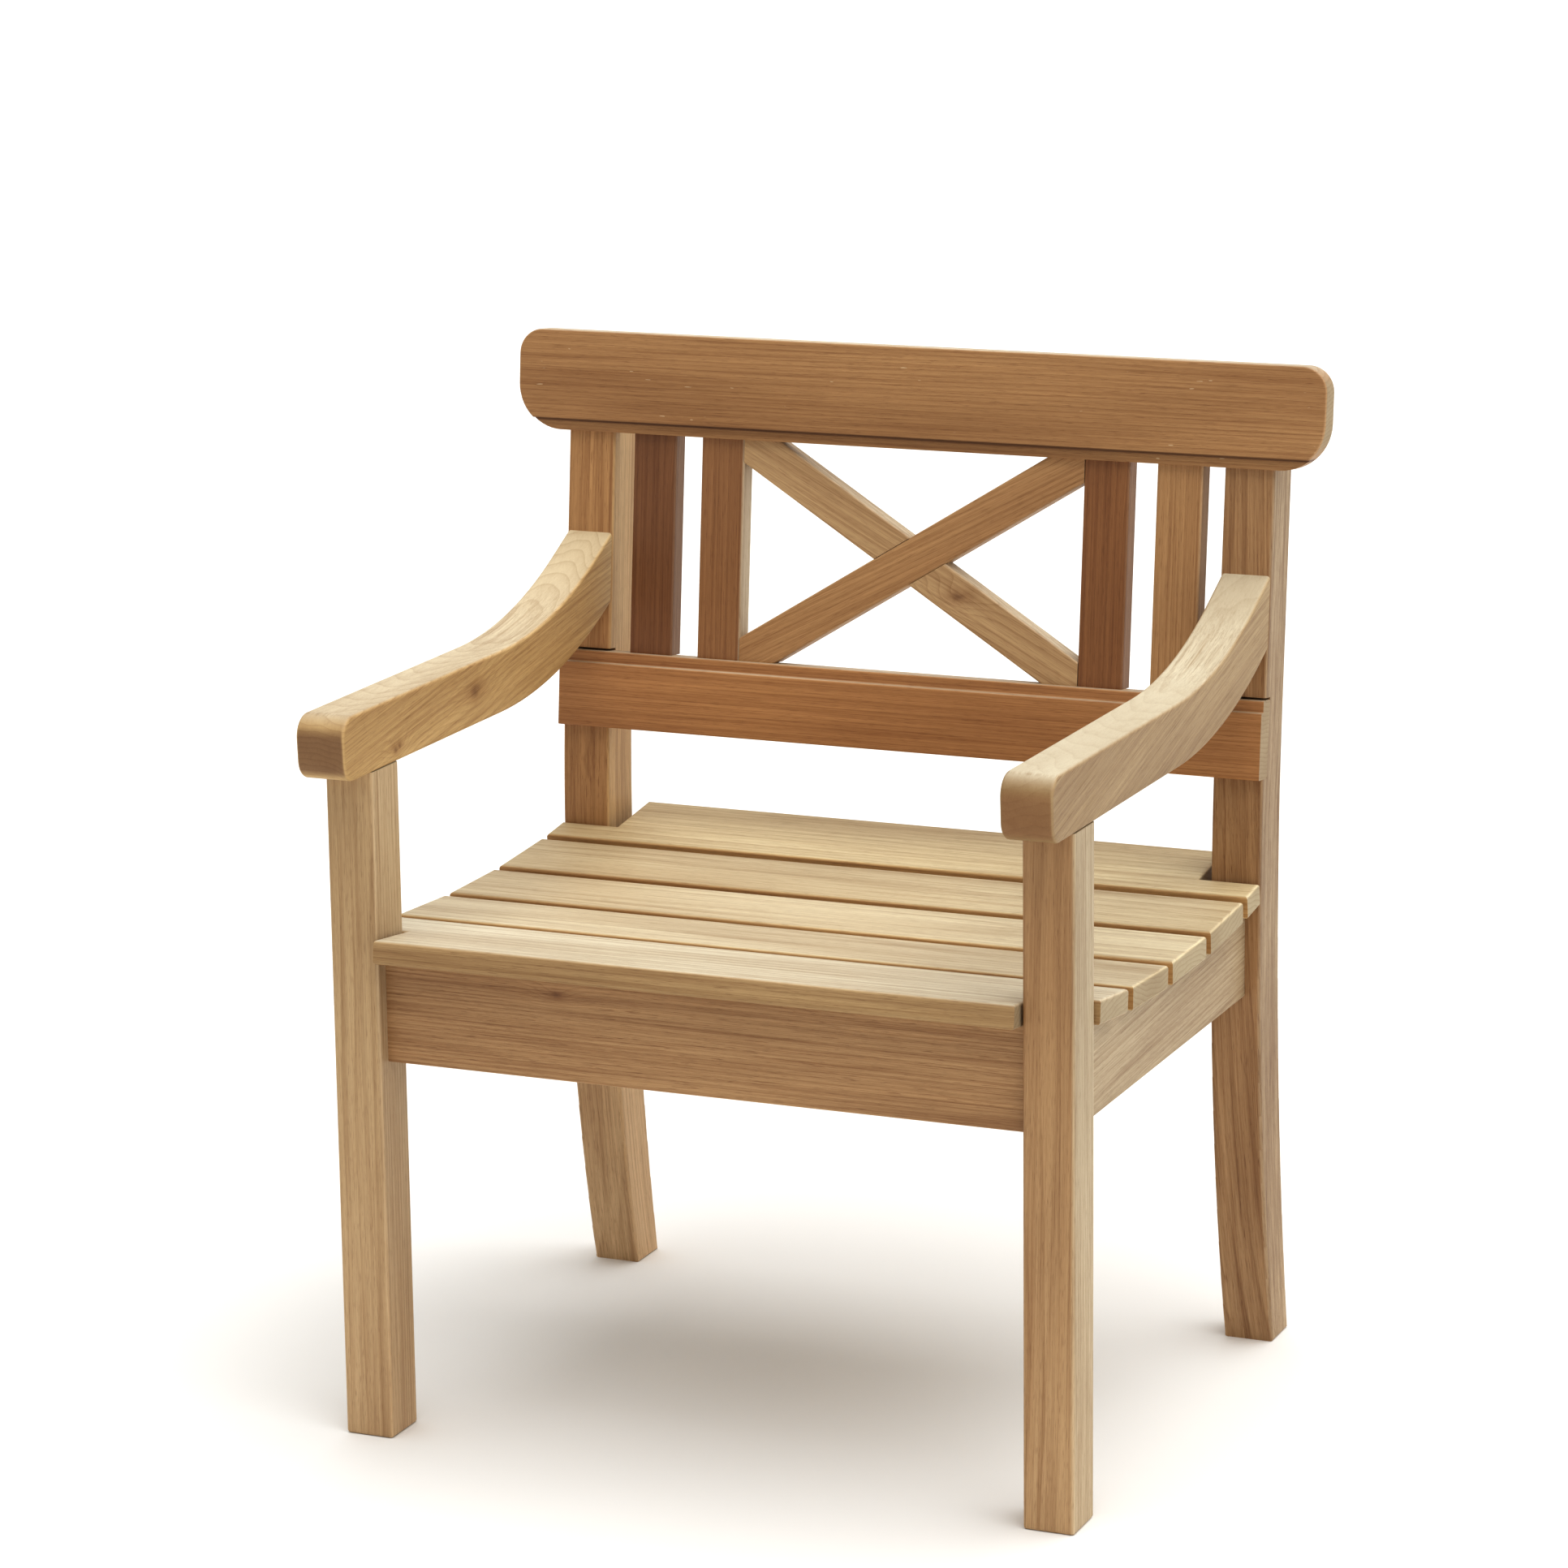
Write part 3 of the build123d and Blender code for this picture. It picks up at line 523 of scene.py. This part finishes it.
def dress_back():
    """The crest, the lower rail, the upright slats and the cross."""
    low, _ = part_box("crest_rail")
    edge = low.dot(UP_BACK) + CREST_EDGE_LIFT
    # Painted shade line in the corner under the crest's rebate.
    rebate = ((edge + CREST_REBATE, CREST_GRIME),)
    dress_wood("crest_rail", "crest", X, FACE_BACK, (260, 20, -140), ring=4.0, fade_right=0.15,
               flecks=0.45, seams=rebate)
    dress_wood("lower_back_rail", "lower", X, FACE_BACK, (0, 25, 110), ring=3.8)
    # Painted light on the right sides of the back slats, differing from slat to slat.
    slats = (("dark", 0.15), ("brown", 0.75), ("russet", 0.15), ("tan", 0.3))
    for number, (tone, fade) in enumerate(slats, start=1):
        offset = (100 - 60 * (number % 2), 25, 0)
        dress_wood("back_slat_" + str(number), tone, UP_BACK, X, offset, fade_right=fade)

    low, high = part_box("back_cross_rising")
    slope = (high.z - low.z - CROSS_BAR_END) / (high.x - low.x)
    rising = (X + UP_BACK * slope).normalized()
    falling = (X - UP_BACK * slope).normalized()
    knot = ((from_corner("back_cross_falling", 202.8, 7.04, 71.02), 6.0),)
    dress_wood("back_cross_rising", "tan", rising, FACE_BACK, (0, 20, 90))
    dress_wood("back_cross_falling", "honey", falling, FACE_BACK, (0, 45, -60), knots=knot)


def dress_fasteners():
    """Wooden dowels and plugs, and steel screws."""
    for node in ("back_cross_dowels", "armrest_plugs", "seat_dowels"):
        dress_wood(node, "leg", Z, X, (40, 30, 0))
    metal = steel()
    for node in ("back_cross_screw", "back_rail_screws", "armrest_screws"):
        dress(node, metal)


def make_floor():
    """A wide pale floor."""
    corners = [(-FLOOR_HALF, -FLOOR_HALF, 0), (FLOOR_HALF, -FLOOR_HALF, 0),
               (FLOOR_HALF, FLOOR_HALF, 0), (-FLOOR_HALF, FLOOR_HALF, 0)]
    mesh = bpy.data.meshes.new("floor")
    mesh.from_pydata(corners, [], [(0, 1, 2, 3)])
    floor = bpy.data.objects.new("floor", mesh)
    bpy.context.scene.collection.objects.link(floor)
    graph = Graph("pale_floor")
    graph.shader.inputs["Base Color"].default_value = FLOOR_COLOUR
    graph.shader.inputs["Roughness"].default_value = 0.9
    mesh.materials.append(graph.material)


def make_sun():
    """The broad soft sun."""
    lamp = bpy.data.lights.new("sun", "SUN")
    lamp.energy = SUN_STRENGTH
    lamp.angle = SUN_SPREAD
    sun = bpy.data.objects.new("sun", lamp)
    sun.rotation_mode = "QUATERNION"
    sun.rotation_quaternion = SUN_TOWARDS.to_track_quat("Z", "Y")
    bpy.context.scene.collection.objects.link(sun)


def make_sky():
    """The sky: a dim base, with pale light added towards the top, the right and the rear."""
    world = bpy.data.worlds.new("sky")
    world.use_nodes = True
    tree = world.node_tree
    background = tree.nodes["Background"]
    base, strength = SKY_BASE
    total = tree.nodes.new("ShaderNodeVectorMath")
    total.inputs[1].default_value = [strength * c for c in base]
    towards = tree.nodes.new("ShaderNodeTexCoord").outputs["Generated"]
    axes = tree.nodes.new("ShaderNodeSeparateXYZ")
    tree.links.new(towards, axes.inputs[0])
    for axis, (colour, strength) in (("Z", SKY_TOP), ("X", SKY_RIGHT), ("Y", SKY_REAR)):
        side = tree.nodes.new("ShaderNodeMath")
        side.operation = "MAXIMUM"
        side.inputs[1].default_value = 0.0
        tree.links.new(axes.outputs[axis], side.inputs[0])
        part = tree.nodes.new("ShaderNodeVectorMath")
        part.operation = "SCALE"
        part.inputs[0].default_value = [strength * c for c in colour]
        tree.links.new(side.outputs[0], part.inputs["Scale"])
        tree.links.new(part.outputs[0], total.inputs[0])
        following = tree.nodes.new("ShaderNodeVectorMath")
        tree.links.new(total.outputs[0], following.inputs[1])
        total = following
    tree.links.new(total.outputs[0], background.inputs["Color"])
    bpy.context.scene.world = world


def make_camera():
    """The camera at the photograph's viewing angle."""
    lens = bpy.data.cameras.new("camera")
    lens.lens = CAMERA_LENS
    lens.clip_end = 200.0
    camera = bpy.data.objects.new("camera", lens)
    turn = (Matrix.Rotation(CAMERA_YAW, 4, "Z") @ Matrix.Rotation(pi / 2 - CAMERA_PITCH, 4, "X")
            @ Matrix.Rotation(CAMERA_ROLL, 4, "Z"))
    camera.matrix_world = Matrix.Translation(CAMERA_PLACE) @ turn
    bpy.context.scene.collection.objects.link(camera)
    bpy.context.scene.camera = camera


dress_legs()
dress_arms()
dress_seat()
dress_back()
dress_fasteners()
make_floor()
make_sun()
make_sky()
make_camera()
bpy.context.scene.view_settings.view_transform = "Standard"
bpy.context.scene.view_settings.gamma = VIEW_GAMMA
